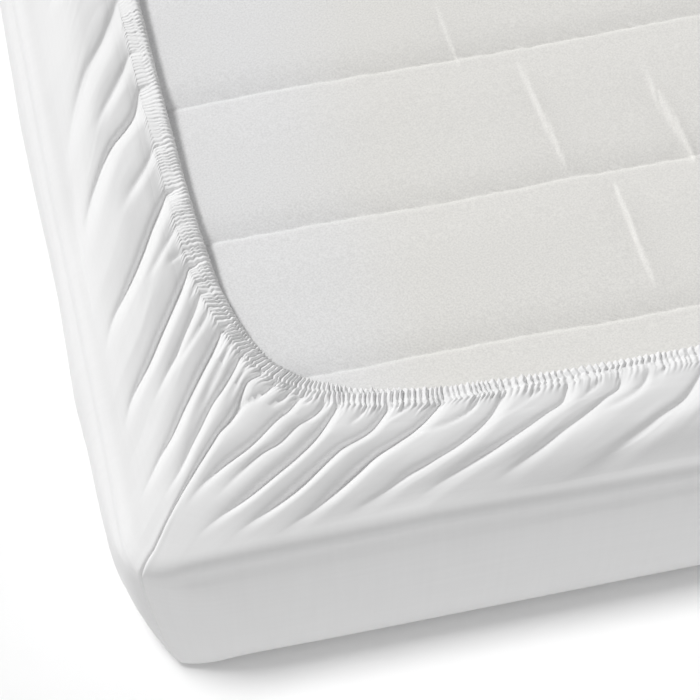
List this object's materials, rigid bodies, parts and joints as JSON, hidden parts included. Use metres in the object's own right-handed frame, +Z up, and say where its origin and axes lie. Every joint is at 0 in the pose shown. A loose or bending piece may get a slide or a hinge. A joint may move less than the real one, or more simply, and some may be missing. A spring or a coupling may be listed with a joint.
{
  "type": "fitted sheet on mattress",
  "caption": "Elasticated fitted sheet drawn over a single mattress that lies face down, its gathered hem framing the channelled underside.",
  "frame": {"origin": "on the floor under the middle of the dressed mattress", "axes": "+X across the bed, +Y along it from the foot face, +Z up, out of the mattress's upturned underside"},
  "size_m": [0.9, 2, 0.1879],
  "materials": {
    "sheet_cotton": "plain white cotton, fine matt weave",
    "mattress_ticking": "pale grey knitted ticking, matt"
  },
  "bodies": {
    "root": {"sheet": "sheet_cotton", "mattress": "mattress_ticking"}
  },
  "joints": []
}
